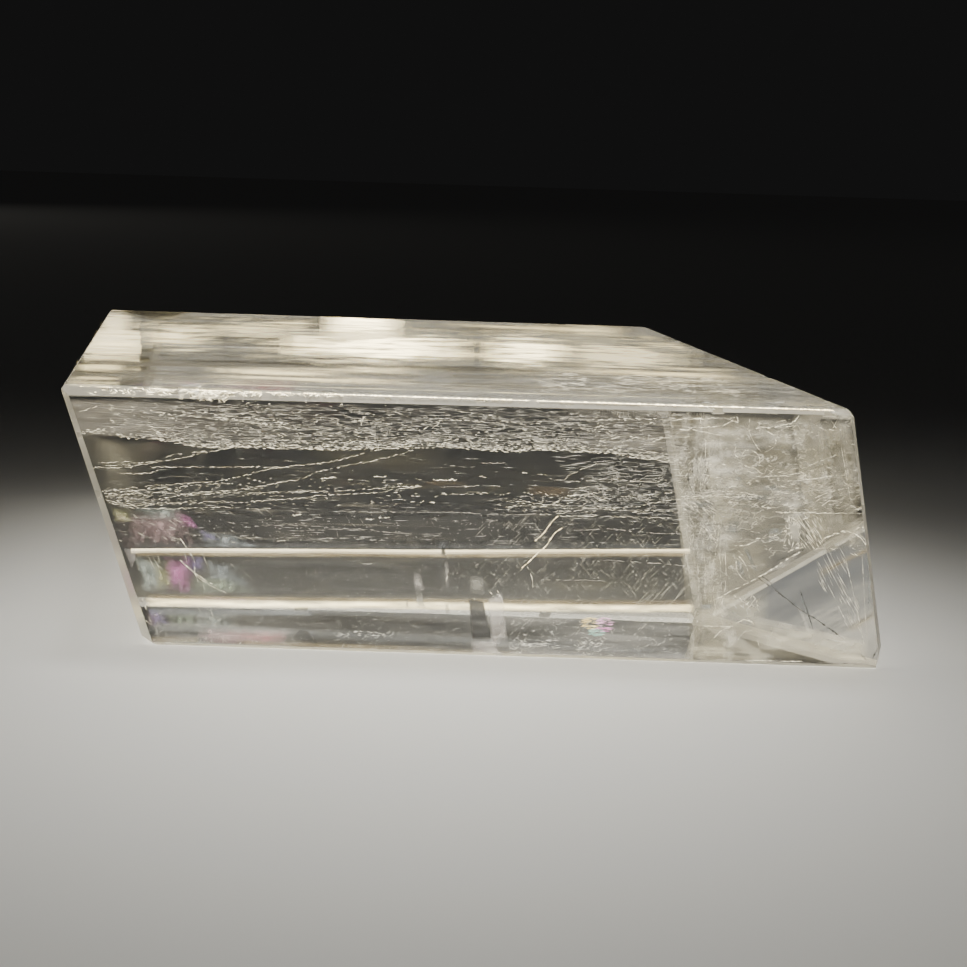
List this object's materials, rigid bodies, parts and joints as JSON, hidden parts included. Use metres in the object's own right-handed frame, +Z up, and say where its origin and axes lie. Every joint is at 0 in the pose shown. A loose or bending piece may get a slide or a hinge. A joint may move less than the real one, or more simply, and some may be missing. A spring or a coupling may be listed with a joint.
{
  "type": "optical calcite slab",
  "caption": "Clear cleavage slab of Iceland spar, a slanted rhomb with polished faces and bevelled edges, resting on its broad face.",
  "frame": {"origin": "middle of the footprint's bounding box, on the surface that the slab rests on", "axes": "+X along the front edge from left to right, +Y from front to back, +Z up, square to the two broad faces"},
  "size_m": [0.125, 0.1086, 0.0362],
  "materials": {
    "spar": "polished clear calcite with internal cleavage veils and fine scratches"
  },
  "bodies": {
    "root": {"calcite_slab": "spar"}
  },
  "joints": []
}
